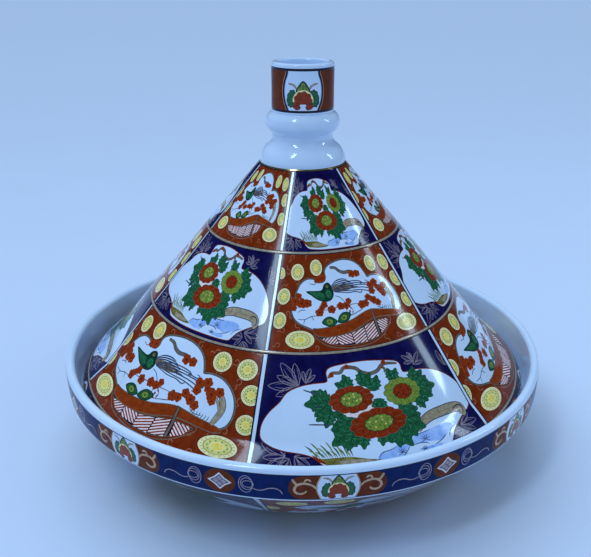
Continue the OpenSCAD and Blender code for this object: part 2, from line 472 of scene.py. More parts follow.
class Art:
    """A stack of painted shapes, the last one on top. A shape with an anchor keeps its
    proportions where a panel squeezes the drawing."""

    def __init__(self):
        self.shapes = []

    def paint(self, ink, outline, anchor=None):
        """Fills an outline."""
        self.shapes.append((ink, np.asarray(outline, float), anchor))

    def patch(self, ink, points, n=4):
        """Fills the smooth shape through a few points."""
        self.paint(ink, rounded(points, n))

    def brush(self, ink, points, width, tip=0.35, n=4):
        """Draws a stroke along a few points."""
        self.paint(ink, stroke(points, width, tip, n))

    def leaf(self, x, y, length, width, turn):
        """A toothed leaf with its midrib and four veins."""
        outline = moved(leaf_outline(length, width), x, y, turn)
        self.paint("deep", widened(outline, 0.28))
        self.paint("leaf", outline)
        midrib = [[length * t, 0] for t in (0.1, 0.5, 0.9)]
        self.brush("deep", moved(midrib, x, y, turn), 0.45, n=2)
        for side in (-1, 1):
            for t in (0.3, 0.56):
                vein = [[length * t, side * width * 0.07], [length * (t + 0.13), side * width * 0.3]]
                self.brush("fern", moved(vein, x, y, turn), 0.55, 0.5, n=1)

    def leaf_fan(self, x, y, size, turn, spread, count):
        """Leaves spread out from one point, the middle one the longest."""
        for i in range(count):
            a = turn + (i - (count - 1) / 2) * spread
            reach = size * (1.08 if i == (count - 1) / 2 else 0.9)
            self.leaf(x, y, reach, reach * 0.8, a)

    def chrysanthemum(self, x, y, rx, ry, outer, inner, turn=0.0):
        """A flower of twelve petals round a dotted disc."""
        edge = "edging" if outer == "petal" else "leaf"
        dots = ("leaf", "pale") if inner == "sprout" else ("line", "orange")
        self.paint(edge, wavy_disc(x, y, rx + 0.35, ry + 0.35, 12, 0.09, turn))
        self.paint(outer, wavy_disc(x, y, rx, ry, 12, 0.09, turn))
        for i in range(12):
            self.brush(edge, ray(x, y, rx, ry, i * 30 + 15 + turn, 0.6, 0.75, 0.88), 0.28, n=1)
        self.paint("deep", wavy_disc(x, y, rx * 0.54, ry * 0.58, 12, 0.1, turn))
        self.paint(inner, wavy_disc(x, y, rx * 0.5, ry * 0.54, 12, 0.1, turn))
        for i in range(14):
            far = 0.42 * math.sqrt((i + 0.5) / 14)
            dot = ray(x, y, rx, ry, i * 137.5, far)[0]
            self.paint(dots[i % 2], ellipse(*dot, 0.62, 0.36, i * 40))

    def blossom(self, x, y, r, turn=0.0):
        """A round blossom of five petals."""
        for i in range(5):
            petal = ray(x, y, r, r, turn + 72 * i, 0.55)[0]
            self.paint("blossom", ellipse(*petal, r * 0.52), (x, y))
        self.paint("petal", ellipse(x, y, r * 0.34), (x, y))
        self.paint("line", ellipse(x, y, r * 0.13), (x, y))

    def medallion(self, x, y, rx, ry, turn):
        """A yellow disc with a ring of dashes, a ring of dots and a star."""
        self.paint("line", ellipse(x, y, rx + 0.4, ry + 0.4, turn))
        self.paint("cream", ellipse(x, y, rx, ry, turn))
        for i in range(20):
            dash = moved(ray(0, 0, rx, ry, 18 * i, 0.78, 0.9), x, y, turn)
            self.brush("olive", dash, 0.3, 0.8, n=1)
        self.paint("olive", ellipse(x, y, rx * 0.74, ry * 0.74, turn))
        self.paint("pale", ellipse(x, y, rx * 0.7, ry * 0.7, turn))
        for i in range(10):
            dot = moved(ray(0, 0, rx, ry, 36 * i, 0.52), x, y, turn)[0]
            self.paint("sprout", ellipse(*dot, min(rx, ry) * 0.08))
        self.paint("cream", wavy_disc(x, y, rx * 0.42, ry * 0.42, 8, 0.16, turn))
        self.paint("yellow", wavy_disc(x, y, rx * 0.33, ry * 0.33, 8, 0.16, turn))
        self.paint("pale", ellipse(x, y, rx * 0.12, ry * 0.12))

    def scroll(self, x, y, r, turn, hand, ink="rust", width=0.5):
        """A small spiral with a bud."""
        a = np.radians(np.arange(60, 400, 55))
        radius = r * np.linspace(0.3, 1, len(a))
        spiral = np.column_stack([radius * np.cos(a), hand * radius * np.sin(a)])
        self.brush(ink, moved(spiral, x, y, turn), width, 0.5, n=2)
        bud = [[r * 0.9, hand * r * 0.5], [r * 1.5, hand * r * 0.3], [r * 2.0, hand * r * 0.7]]
        self.brush(ink, moved(bud, x, y, turn), width * 1.2, n=2)

    def spray(self, x, y, size, turn, count, spread):
        """Petal loops drawn in line, fanning out from one point."""
        for i in range(count):
            a = turn + (i - (count - 1) / 2) * spread
            reach = size * (1 if i % 2 else 0.8)
            loop = [[0, 0], [reach * 0.55, reach * 0.17], [reach, 0],
                    [reach * 0.5, -reach * 0.15], [0, 0]]
            self.brush("lilac", moved(loop, x, y, a), 0.34, 0.8, n=3)
            for k in (-0.05, 0.05):
                vein = [[reach * 0.15, k * reach], [reach * 0.5, 1.6 * k * reach],
                        [reach * 0.78, k * reach]]
                self.brush("lilac", moved(vein, x, y, a), 0.26, n=2)


# ---- painted sheets on a wall


def kept_round(warp, outline, anchor):
    """Carries a small shape through a warp without squeezing it."""
    x, y = anchor
    centre, right, up = warp(np.array([(x, y), (x + 1, y), (x, y + 1)], float))
    across = right - centre
    along = up - centre
    size = (np.linalg.norm(across) + np.linalg.norm(along)) / 2
    turn = math.degrees(math.atan2(along[1], along[0]) - math.pi / 2)
    return moved(outline - np.array(anchor), *centre, turn, size)


def inside(points, outline):
    """Which points lie inside an outline, by winding number."""
    p = np.asarray(points)
    winding = np.zeros(len(p))
    for (x0, y0), (x1, y1) in zip(outline, np.roll(outline, -1, 0)):
        side = (x1 - x0) * (p[:, 1] - y0) - (p[:, 0] - x0) * (y1 - y0)
        winding += ((y0 <= p[:, 1]) & (y1 > p[:, 1]) & (side > 0)).astype(int)
        winding -= ((y0 > p[:, 1]) & (y1 <= p[:, 1]) & (side < 0)).astype(int)
    return winding != 0


def clipped(shape, window):
    """The part of a convex shape inside a convex window (clockwise or not)."""
    window = np.asarray(window, float)
    x, y = window[:, 0], window[:, 1]
    if np.sum(x * np.roll(y, -1) - y * np.roll(x, -1)) < 0:
        window = window[::-1]
    out = [np.array(p, float) for p in shape]
    for a, b in zip(window, np.roll(window, -1, 0)):
        edge = b - a
        kept = []
        for p, q in zip(out, out[1:] + out[:1]):
            dp = edge[0] * (p[1] - a[1]) - edge[1] * (p[0] - a[0])
            dq = edge[0] * (q[1] - a[1]) - edge[1] * (q[0] - a[0])
            if dp >= 0:
                kept.append(p)
            if dp * dq < 0:
                kept.append(p + (q - p) * dp / (dp - dq))
        out = kept
    return out


def finely(outline, step):
    """A closed outline with its long edges divided, so that a sheet can bend along them."""
    ends = np.roll(outline, -1, 0)
    counts = np.maximum(1, np.ceil(np.linalg.norm(ends - outline, axis=1) / step).astype(int))
    return np.vstack([a + (b - a) * np.arange(n)[:, None] / n for a, b, n in zip(outline, ends, counts)])


WELD = 0.004  # points of a sheet closer than this become one


def cut_sheet(shapes, outline, step):
    """Divides a flat sheet into triangles along every painted edge and says which ink each one has."""
    low = outline.min(0)
    high = outline.max(0)
    points = []
    edges = []
    for _, shape in [("", outline)] + shapes:
        if (shape.max(0) < low).any() or (shape.min(0) > high).any():
            continue
        shape = finely(shape, step)
        start = len(points)
        count = len(shape)
        points.extend(shape.tolist())
        edges.extend((start + i, start + (i + 1) % count) for i in range(count))
    gx, gy = np.meshgrid(np.arange(low[0], high[0], step), np.arange(low[1], high[1], step * 0.87))
    gx = gx + (np.arange(gx.shape[0]) % 2)[:, None] * step / 2
    grid = np.column_stack([gx.ravel(), gy.ravel()])
    points.extend(grid[inside(grid, outline)].tolist())
    found, _, faces, _, _, _ = geometry.delaunay_2d_cdt(
        [Vector(p) for p in points], edges, [], 0, WELD, False)
    found = np.array([tuple(v) for v in found])
    faces = np.array([f for f in faces if len(f) == 3])
    centre = found[faces].mean(1)
    keep = inside(centre, outline)
    faces = faces[keep]
    centre = centre[keep]
    owner = np.zeros(len(faces), int)
    for i, (_, shape) in enumerate(shapes):
        near = np.where(((centre >= shape.min(0)) & (centre <= shape.max(0))).all(1))[0]
        if len(near):
            owner[near[inside(centre[near], shape)]] = i
    return found, faces, [shapes[i][0] for i in owner]


LIFT = 0.07  # how far a sheet lies above the glaze
SUNK = 0.3  # how far its skirt reaches down


def printed(name, art, outline, unroll, profile, step, lift=LIFT, warp=None, frame_lines=()):
    """A painted sheet that lies on a turned surface, as one mesh with a material for each ink."""
    shapes = []
    for ink, shape, anchor in art.shapes:
        if warp:
            shape = warp(shape) if anchor is None else kept_round(warp, shape, anchor)
        shapes.append((ink, shape))
    shapes += [(ink, np.asarray(shape, float)) for ink, shape in frame_lines]
    flat, faces, inks = cut_sheet(shapes, np.asarray(outline, float), step)
    used, compact = np.unique(faces, return_inverse=True)
    faces = compact.reshape(faces.shape)
    s, phi = unroll(flat[used])
    points, normals = profile.place(s, phi, lift)
    sunk, _ = profile.place(s, phi, lift - SUNK)
    a, b, c = points[faces[:, 0]], points[faces[:, 1]], points[faces[:, 2]]
    if np.sum(np.cross(b - a, c - a) * normals[faces[:, 0]]) < 0:
        faces = faces[:, ::-1]

    # the skirt hangs from the edges that only one triangle has
    sides = np.vstack([faces[:, [0, 1]], faces[:, [1, 2]], faces[:, [2, 0]]])
    whole = {tuple(e) for e in sides.tolist()}
    border = [e for e in whole if (e[1], e[0]) not in whole]
    rim_points = sorted({v for e in border for v in e})
    down = {v: len(points) + i for i, v in enumerate(rim_points)}
    skirt = [(e[1], e[0], down[e[0]], down[e[1]]) for e in border]
    owner = {tuple(sorted(e)): inks[i] for i, f in enumerate(faces.tolist())
             for e in ((f[0], f[1]), (f[1], f[2]), (f[2], f[0]))}

    mesh = bpy.data.meshes.new(name)
    all_points = np.vstack([points, sunk[rim_points]]) * MM
    mesh.from_pydata(all_points.tolist(), [], faces.tolist() + skirt)
    names = list(dict.fromkeys(inks))
    for ink in names:
        mesh.materials.append(INKS[ink])
    index = [names.index(ink) for ink in inks]
    index += [names.index(owner[tuple(sorted(e))]) for e in border]
    mesh.polygons.foreach_set("material_index", index)
    mesh.polygons.foreach_set("use_smooth", [True] * len(index))
    loop_normals = list(map(tuple, normals[faces.ravel()]))
    for polygon in mesh.polygons[len(faces):]:
        loop_normals.extend([tuple(polygon.normal)] * polygon.loop_total)
    mesh.normals_split_custom_set(loop_normals)
    mesh.update()
    return mesh


def wound(name, art, half, tall, divisions, middle, radius, profile, step, lines=()):
    """A straight strip printed round a wall, its middle line at a length along the profile."""
    outline = np.vstack([straight([-half, -tall], [half, -tall], divisions),
                         straight([half, tall], [-half, tall], divisions)])
    return printed(name, art, outline, lambda flat: (middle - flat[:, 1], flat[:, 0] / radius),
                   profile, step, frame_lines=lines)


def copies(mesh, name, body, turns):
    """One painted piece for each azimuth in degrees, all sharing a mesh."""
    for i, turn in enumerate(turns):
        made = placed(f"{name}_{i + 1}", mesh)
        made.rotation_euler.z = math.radians(turn)
        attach(made, body)


# ---- the two scenes

# Both scenes are drawn in millimetres on the lid's lowest tier, unrolled flat: x to the right and
# y up from a point MID along the slant. The other tiers and the bowl squeeze them into their panels.
TIER_EDGES = [LID.s[0], 62.2 / UNROLL, 101.2 / UNROLL, LID.length_at_z(52.0)]
TIER_TOP, TIER_BOTTOM = TIER_EDGES[2:]
MID = (TIER_TOP + TIER_BOTTOM) / 2
HALF_TURN = math.radians(30) * UNROLL


def on_cone(length, angle):
    """Flat points of the unrolled cone, from their distances to its tip and their angles."""
    return np.column_stack([length * np.sin(angle), -length * np.cos(angle)])


def fan_outline(top, bottom, inset):
    """Outline of an unrolled panel, its sides set in from the dividing lines by an even distance."""
    count = int(bottom * HALF_TURN * 2 / 2.5)
    rows = []
    for length in (bottom, top):
        half = HALF_TURN - math.asin(inset / length)
        rows.append(on_cone(length, np.linspace(-half, half, count)))
    return np.vstack([rows[0], rows[1][::-1]])


def new_scene(ink):
    """A drawing that starts with its ground colour, which reaches past the panel's edges."""
    art = Art()
    art.paint(ink, fan_outline(TIER_TOP - 30, TIER_BOTTOM + 30, -12) + [0, MID])
    return art


CARTOUCHE_BLUE = rounded([
    (-63, -3), (-61, 4), (-56, 9.5), (-49, 14), (-44, 18.5), (-37, 20.5), (-29, 20.7), (-22, 20.2),
    (-20.5, 22), (-20.3, 26), (-17.5, 28.3), (-9, 29), (2, 29), (13, 27.8), (20.5, 26.6), (23.5, 24.5),
    (24, 20.5), (26, 19), (34, 19.8), (44, 19), (53, 16), (60.5, 11), (66, 4), (67.5, -3), (65, -7),
    (60, -10), (54, -14.5), (49, -19), (46, -23.5), (43, -26.5), (30, -28.8), (14, -30.3), (0, -30.8),
    (-14, -30.3), (-28, -28.2), (-33, -25), (-37, -20), (-43, -16.5), (-52, -13), (-59, -8.5)], 4)

CARTOUCHE_RED = rounded([
    (-53, -1), (-53.5, 5), (-50, 10), (-47, 15), (-42, 20), (-35.5, 22), (-29, 20.5), (-25, 17.5),
    (-20, 17.5), (-17.5, 20.5), (-17.3, 24.5), (-14, 27.8), (-6, 30), (3, 30.8), (11.5, 29.5), (18, 26),
    (22, 20.5), (24, 17.2), (29, 18.6), (36, 18.8), (42.5, 16.5), (48, 12), (51.5, 5.5), (52, -1),
    (49.5, -5.5), (44, -7), (30, -7), (18, -6.5), (8, -9), (-3, -12.3), (-14, -14), (-27, -14.3),
    (-35, -14), (-42, -10.5), (-49, -6)], 4)


def blue_scene():
    """Chrysanthemums on a white cartouche, with a trunk, rocks and grass, on cobalt."""
    art = new_scene("cobalt")
    for x, y, size, turn, count, spread in (
            (-37, 21, 17, 140, 5, 26), (-33, 22, 9, 60, 3, 30), (-52, -16, 15, 155, 4, 34),
            (-50, -18, 10, 215, 3, 40), (-47, -17, 11, 310, 3, 36), (33, 23, 9, 55, 3, 42),
            (33, 25, 8, 150, 3, 36), (55, -17, 13, 25, 4, 30), (55, -20, 10, 200, 3, 40),
            (57, -22, 9, 300, 3, 40), (56, 21, 10, 60, 4, 34), (-56, 26, 9, 190, 3, 36)):
        art.spray(x, y, size, turn, count, spread)
    art.paint("line", widened(CARTOUCHE_BLUE, 0.9))
    art.paint("petal", widened(CARTOUCHE_BLUE, 0.5))
    art.paint("white", CARTOUCHE_BLUE)

    # branch in the top lobe
    bough = [
        (-20, 22.5), (-17.5, 25), (-13, 24.5), (-10, 27), (-4, 25.8), (-1, 23), (4, 21.2), (9, 22.4),
        (12, 25.2), (16, 25.8), (22, 25)]
    twig = [(12, 25), (13.5, 22.5), (13, 20.5)]
    for ink, more in (("line", 0.6), ("edging", 0)):
        art.brush(ink, bough, 1.7 + more, 0.5)
        art.brush(ink, twig, 0.9 + more)
    for x, y in ((-8.5, 27.2), (13.5, 26.6), (-18, 24)):
        art.blossom(x, y, 1.5, 20)
    art.brush("petal", [(11, 24), (13, 23)], 0.9)

    # grass bank, rocks and trunk
    art.patch("olive", [
        (-37, -19.5), (-33, -21.5), (-26, -22.3), (-17, -23.5), (-8, -26.3), (-1, -28.2), (-10, -29.2),
        (-22, -28.2), (-31, -25.8)])
    art.patch("bark", [(-24, -24.5), (-14, -25.5), (-5, -27.6), (-14, -28), (-22, -27)], 3)
    art.patch("petal", [(-38, -18.5), (-35, -20.5), (-31, -24.8), (-34.5, -23.2)], 3)
    for i in range(15):
        root = -35 + i * 1.35
        lean = -7 + i * 0.35
        rise = (8.5, 5.5, 10, 4.5, 7)[i % 5]
        ink = ("leaf", "sprout", "olive")[i % 3]
        base = -21 - i * 0.18
        blade = [(root, base), (root + lean * 0.35, base + rise * 0.6), (root + lean * 0.8, base + rise)]
        art.brush(ink, blade, 0.9, 0.2, n=2)
    art.patch("sky", [
        (-2.5, -27.5), (0, -24.6), (5, -23.8), (11, -21.5), (17, -21.5), (15, -25), (12.5, -28.6),
        (6, -29.3)])
    art.patch("sky", [
        (10, -22.5), (18, -18.5), (28, -17.2), (37, -15), (45, -13.8), (49, -16), (44, -20), (38, -23.5),
        (30, -23), (22, -25.5), (14, -24.5)])
    art.patch("white", [(17, -24), (25, -23), (33, -25.5), (40, -23), (41, -26), (30, -28), (17, -29)])
    art.patch("sky", [(22, -26.5), (30, -25.6), (38, -25), (36, -27.2), (28, -28)])
    for points in (
            [(-2.5, -27.5), (0, -24.6), (5, -23.8), (9, -22.8)],
            [(11, -21.8), (18, -18.5), (28, -17.2), (33, -16.2)], [(17, -23.8), (25, -23), (30, -24.3)],
            [(12, -28.6), (15, -26), (17, -24)], [(44, -22.5), (46, -19), (51, -15.5)],
            [(33, -25.5), (39, -23), (42, -20.5)]):
        art.brush("plume", points, 0.5)
    for x, y, size in ((12, -26.5, 3.0), (28, -21.5, 3.4), (26, -27, 2.4)):
        for a in (20, 55, 90, 125, 160, 200, 340):
            art.brush("plume", moved([(0, 0), (size * 0.5, 0.12), (size, 0)], x, y, a), 0.42, 0.3, n=2)
    trunk = [
        (25, -15.5), (29, -11.8), (36, -8.4), (45, -6.6), (53, -5.4), (58.5, -5.9), (60.5, -8.4),
        (59, -11)]
    art.brush("line", trunk, 6.6, 0.55)
    art.brush("bark", trunk, 5.6, 0.55)
    for i in range(12):
        x = 30 + i * 2.4
        y = -11 + 5.6 * math.sin((x - 28) / 40 * math.pi * 0.62)
        art.brush("olive", [(x - 1, y - 0.4), (x, y + 0.5), (x + 1, y)], 0.4, n=2)
    art.brush("line", [(53, -7), (56, -4.6), (59.5, -4.8), (61.2, -7.5), (59.5, -10.5)], 0.7)

    # leaves behind the flowers
    for x, y, size, turn, spread, count in (
            (-22, 9, 12.5, 176, 38, 3), (-22, 4, 11, 222, 36, 2), (-9, 14, 10, 128, 42, 2),
            (-2, 15, 9.5, 66, 40, 2), (4, 11, 10, 84, 36, 2), (6, 6, 9, 262, 50, 2),
            (17, 15, 8.5, 84, 40, 2), (30, 12, 11, 62, 36, 2), (31, 8, 12, 8, 34, 3),
            (29, 4, 9.5, 322, 34, 2), (-10, -3, 14, 172, 32, 2), (-11, -8, 14.5, 206, 32, 3),
            (-7, -11, 10.5, 240, 36, 2), (4, -12, 9.5, 276, 40, 2), (12, -11, 13, 300, 32, 3),
            (17, -8, 13.5, 336, 32, 3), (17, -3, 12.5, 18, 34, 2), (-8, 1, 7, 140, 44, 1)):
        art.leaf_fan(x, y, size, turn, spread, count)
    for points in (
            [(-35, 18.6), (-32, 16.8), (-27, 14.5)], [(-36, -1.4), (-31, -2.4), (-24, -4)],
            [(-31, 7), (-27, 8)]):
        art.brush("plume", points, 0.8, 0.5)

    art.paint("pink", wavy_disc(-7, 1, 9, 3.4, 10, 0.1))
    art.chrysanthemum(-9.7, 8.2, 12.8, 7.8, "petal", "sprout")
    art.chrysanthemum(21.5, 8.3, 11.8, 8.2, "sprout", "petal")
    art.chrysanthemum(3.0, -7.3, 17.2, 8.4, "petal", "sprout", 3)
    return art


def red_scene():
    """A bird among blossom branches over a basket, with yellow medallions, on iron red."""
    art = new_scene("red")
    for row, y in enumerate(np.arange(-35, 44, 9.5)):
        for i, x in enumerate(np.arange(-84 + 6.5 * (row % 2), 88, 13)):
            if not inside([[x, y]], widened(CARTOUCHE_RED, 2))[0]:
                art.scroll(x, y, 2.5, (i * 77 + row * 40) % 360, 1 if (i + row) % 2 else -1)
    for x, y, rx, ry, turn in (
            (-43, 29.5, 6.2, 5.9, 0), (-25, 28.8, 5.8, 5.9, 0), (31.5, 28, 5.9, 6, 0),
            (47.5, 30, 6, 6.2, 0), (-59, 16, 6, 5.6, 20), (-66, 0.5, 6, 5.6, 20), (56.5, 18, 6, 5.8, -20),
            (61.5, 2, 5.8, 5.6, -20), (-51.5, -17, 12.6, 6.2, -14), (53, -15.5, 11.8, 6.2, 13),
            (-58, 33, 3.6, 4.4, 10), (60, 33, 3.4, 4, -10)):
        art.medallion(x, y, rx, ry, turn)
    art.paint("line", widened(CARTOUCHE_RED, 1.6))
    art.paint("edging", widened(CARTOUCHE_RED, 1.35))
    art.paint("line", widened(CARTOUCHE_RED, 0.3))
    art.paint("white", CARTOUCHE_RED)

    # orange bar and the basket of hatched cells
    crescent = rounded([
        (-38, -16), (-34.5, -21.5), (-27, -26.5), (-14, -29.6), (0, -30.4), (13, -28.8), (24, -24.5),
        (33, -17), (36, -12), (24, -12), (10, -15), (-5, -19), (-20, -20)], 4)
    art.paint("edging", widened(crescent, 0.6))
    art.paint("red", widened(crescent, -0.1))
    art.paint("edging", widened(crescent, -1.3))
    art.paint("line", widened(crescent, -1.7))
    bar = rounded([
        (-38.5, -12.6), (-36.5, -17), (-30, -19.6), (-20, -20.6), (-9, -20), (2, -17.8), (12, -14.4),
        (19, -12), (30, -10.9), (44, -10.2), (50.5, -7.6), (46, -6.4), (32, -6.6), (19, -6.2), (10, -8.2),
        (-1, -11.7), (-13, -13.6), (-26, -14), (-34, -13.4)], 3)
    art.paint("edging", widened(bar, 0.55))
    art.paint("orange", bar)
    cells = (
        ((-33.4, -20.4), (-20.4, -21.1), (-18.6, -26.4), (-26.4, -25.2)),
        ((-19.6, -21.2), (-5.6, -20.9), (-5.2, -27.6), (-17.6, -27.2)),
        ((-4.8, -20.8), (7.4, -18.2), (7.8, -28), (-4.4, -28.4)),
        ((8.2, -17.8), (18.0, -14.4), (19.6, -25), (8.6, -27.6)),
        ((21.4, -14.2), (33, -13), (30.6, -18.8), (23.4, -23.4)))
    for cell, lean in zip(cells, (28, -32, 24, 30, -28)):
        cell = np.array(cell)
        art.paint("pink", cell)
        for k in range(-6, 7):
            hatch = [[-20, k * 1.8], [20, k * 1.8], [20, k * 1.8 + 0.9], [-20, k * 1.8 + 0.9]]
            piece = clipped(moved(hatch, *cell.mean(0), lean), cell)
            if len(piece) > 2:
                art.paint("petal", piece)
    art.paint("line", [(18.1, -5.6), (20.5, -5.6), (22.2, -25), (19.7, -25.6)])
    art.paint("edging", [(18.5, -6), (20.1, -6), (21.7, -24.8), (20.1, -25)])

    # branches
    for ink, points, width in (
            ("edging", [(-12, 26.8), (-7, 26), (-3.5, 23.4), (1, 21.8), (7, 22.2), (12, 20.8),
                        (16, 21.5)], 1.9),
            ("bark", [(43, -6.5), (44.5, -1), (45, 4), (43, 8), (40, 11)], 3.4),
            ("bark", [(44, 2), (41, 6), (36, 9)], 1.2)):
        art.brush("plume", points, width + 0.7, 0.6)
        art.brush(ink, points, width, 0.6)
    for points in (
            [(-50, -3), (-44, -4.6), (-38, -3.8), (-31, -4.6)], [(-49, 1.6), (-45, 2.4), (-42, 1.4)],
            [(-31, -1), (-22, -2), (-14, -1.6), (-6, -2), (2, -1.2), (8, -1)],
            [(8, -1), (16, 1), (24, 0)], [(0, -8.6), (5, -7), (10, -5.4), (14, -2)],
            [(-13, 6.5), (-9, 5.2), (-6, 2.5), (-4, 0)], [(-34, 19), (-30, 17.5), (-27, 18.5)],
            [(26, -4), (30, -5.4), (35, -4.6)], [(-44, -4.6), (-46, -7.5)], [(-38, -3.8), (-36, -7)]):
        art.brush("plume", points, 0.55, 0.5)
    for x in range(27, 40, 2):
        art.brush("leaf" if x % 4 else "sky", [(x, -6.3), (x + 0.8, -4.5), (x + 0.6, -3)], 0.5, n=2)

    # bird: wing to the left, body, a brown tail and long looped feathers to the right
    art.patch("deep", [
        (-38.5, 14.2), (-30, 12.8), (-24, 12.4), (-21, 15.8), (-16.5, 16.6), (-14, 13), (-13.4, 8),
        (-16.6, 4.2), (-22.5, 3.6), (-29, 6), (-34, 10)])
    art.patch("leaf", [
        (-35.5, 13.2), (-30, 11.8), (-24, 10.6), (-22.5, 7), (-24, 5.2), (-29, 7.2), (-33, 10.2)], 3)
    for i in range(6):
        art.brush("fern", [(-34 + i * 2.1, 12.6 - i * 0.5), (-31.5 + i * 1.9, 9.8 - i * 0.6)], 0.5, n=1)
    art.paint("leaf", ellipse(-18.2, 8.6, 3.0, 3.4, 20))
    for i in range(7):
        art.paint("fern", ellipse(*ray(-18.2, 8.8, 1.7, 1.9, i * 51, 1)[0], 0.5, 0.35, i * 40))
    art.paint("olive", ellipse(-18.4, 14, 1.3, 1.1))
    art.paint("line", ellipse(-18.2, 14.2, 0.45))
    for i in range(6):
        art.brush("plume", [
            (-14.5, 13.6 - i * 0.5), (-9 + i, 16.6 - i * 1.1), (-3 + 2 * i, 17.4 - i * 1.3),
            (2 + 2 * i, 16.6 - i * 1.2)], 0.9, 0.4)
    art.patch("edging", [(-14, 12), (-9, 13.6), (0, 13.4), (8, 11.2), (2, 9.2), (-6, 8.6), (-12, 8.8)], 3)
    for i in range(6):
        ink = ("olive", "bark", "line")[i % 3]
        art.brush(ink, [(-12 + 3 * i, 13), (-9 + 3 * i, 11.2), (-8 + 3 * i, 9.4)], 0.7, n=2)
    for i, (rise, end_x, end_y) in enumerate((
            (15.8, 15, 14.6), (14.4, 21, 13), (13, 25.5, 11.4), (11.4, 26, 9), (9.8, 22, 7),
            (8.4, 13, 6.4))):
        hook = 1.6 if i % 2 else -1.4
        art.brush("plume", [
            (-12, 11 - i * 0.4), (0, rise - 1.2), (end_x * 0.6, (rise + end_y) / 2), (end_x, end_y),
            (end_x + 1.8, end_y + hook), (end_x - 0.6, end_y + hook * 1.3)], 0.75, 0.5, n=3)
    art.brush("bark", [(-19, 4.2), (-18.4, 2.4)], 0.7, n=1)

    # blossoms and fruits
    for x, y, r, turn in (
            (-30, -2.6, 3.1, 10), (-24.5, 1.8, 2.7, 40), (-18.5, -2.4, 3.1, 0), (-27, 0, 2.2, 70),
            (-9.5, -1.2, 3.0, 20), (-4, -1.6, 2.9, 50), (-1.2, 1.4, 2.4, 0), (11, -2.2, 3.2, 30),
            (15.4, -1.6, 2.6, 0), (19, 2.6, 2.8, 15), (24, 0.6, 3.1, 45), (28, -1.2, 2.8, 0),
            (25, 7.2, 2.8, 0), (24.5, 11.6, 2.8, 36), (29.5, 13.6, 3.0, 10), (35, 8.6, 3.6, 40),
            (39, 11.6, 2.8, 0), (36.8, 5.2, 2.4, 60), (31, 10.5, 2.2, 20), (8.5, 20.2, 3.0, 0),
            (13.6, 20.4, 2.8, 36), (-44, 7, 3.8, 0), (-39, 5.8, 3.2, 30), (-49.5, 9.4, 3.2, 50),
            (-52, 5.5, 2.4, 0), (-46, 12.5, 2.6, 20), (-26, 20, 2.8, 0), (-21.5, 20.6, 3.0, 36)):
        art.blossom(x, y, r * 1.06, turn)
    art.paint("petal", ellipse(-2, -5.8, 3.3))
    for i in range(5):
        art.paint("white", ellipse(*ray(-2, -5.8, 1.7, 1.7, 90 + 72 * i, 1)[0], 1.15))
    art.paint("petal", ellipse(-2, -5.8, 0.9))
    for x, y, turn in ((-22.5, -10.4, -10), (-8.5, -9.4, 14)):
        almond = rounded([
            (-7.4, -0.6), (-4, 2.6), (0.5, 3.7), (4.4, 2.4), (7.2, 0.4), (4, -2.6), (0, -3.6),
            (-4.4, -2.6)], 3)
        art.paint("deep", moved(almond, x, y, turn))
        art.paint("leaf", moved(almond * 0.82, x, y, turn))
        art.paint("deep", ellipse(x, y, 3.6, 2.4, turn))
        art.paint("sprout", ellipse(x - 0.2, y, 3.0, 1.9, turn))
        art.paint("leaf", ellipse(x - 0.4, y - 0.1, 0.9, 0.7, turn))
    return art


# ---- the lid's decoration

PANEL_TURN = 18.0  # azimuth in degrees of a panel's middle
STRIP = (0.65, 0.75, 1.0)  # half the white strip between two panels, for each tier
SHEET_STEP = (2.4, 3.2, 4.0)  # longest side of a sheet's triangles
EDGE = 0.9  # width of a panel's dark edge
GAP = 0.9  # from a ring line's middle to the panels beside it

# How each tier's drawing sits in its panel: turn in degrees, spread, lower and stretch
FITS = {
    ("blue", 0): (-1.8, 1.0, 0.05, 0.95), ("red", 0): (-0.2, 0.95, 0.045, 0.92),
    ("blue", 1): (-1.2, 1.0, -0.02, 1.01), ("red", 1): (0.7, 0.94, 0.055, 0.957),
    ("blue", 2): (-0.2, 1.0, 0.035, 0.97), ("red", 2): (-0.3, 1.0, 0.015, 0.99),
}


def scene_warp(top, bottom, turn=0.0, spread=1.0, lower=0.0, stretch=1.0):
    """Carries the lowest tier's drawing to a panel between two lengths along a cone."""
    def warp(points):
        reach = np.hypot(points[:, 0], MID - points[:, 1])
        angle = np.arctan2(points[:, 0], MID - points[:, 1]) * spread + math.radians(turn)
        t = (reach - TIER_TOP) / (TIER_BOTTOM - TIER_TOP) * stretch + lower
        return on_cone(top + t * (bottom - top), angle)
    return warp


def side_lines(top, bottom, inset):
    """The dark edges along a panel's straight sides."""
    lines = []
    for side in (-1, 1):
        corners = []
        for length, off in ((top, inset), (bottom, inset), (bottom, inset + EDGE), (top, inset + EDGE)):
            angle = side * (HALF_TURN - math.asin(off / length))
            corners.append([length * math.sin(angle), -length * math.cos(angle)])
        lines.append(("line", corners))
    return lines


def every_other(first, odd):
    """Azimuths of three of the six panels, which take turns with the other three."""
    return [first + 60 * (odd + 2 * k) for k in range(3)]


def unroll_lid(flat):
    """Length and azimuth on the lid for points of the unrolled cone."""
    length = np.hypot(flat[:, 0], flat[:, 1])
    return length, np.arctan2(flat[:, 0], -flat[:, 1]) / UNROLL


def lid_panels(scenes):
    """Three tiers of six panels, red and blue in turn."""
    for tier in range(3):
        above, below = TIER_EDGES[tier:tier + 2]
        top = above + GAP
        bottom = below - GAP
        for ink, art in scenes.items():
            mesh = printed(f"{ink}_scene_tier_{tier + 1}", art, fan_outline(top, bottom, STRIP[tier]),
                           unroll_lid, LID, SHEET_STEP[tier],
                           warp=scene_warp(above, below, *FITS[ink, tier]),
                           frame_lines=side_lines(top - 2, bottom + 2, STRIP[tier]))
            copies(mesh, f"{ink}_panel_tier_{tier + 1}", "lid",
                   every_other(PANEL_TURN, (tier + (ink == "red")) % 2))


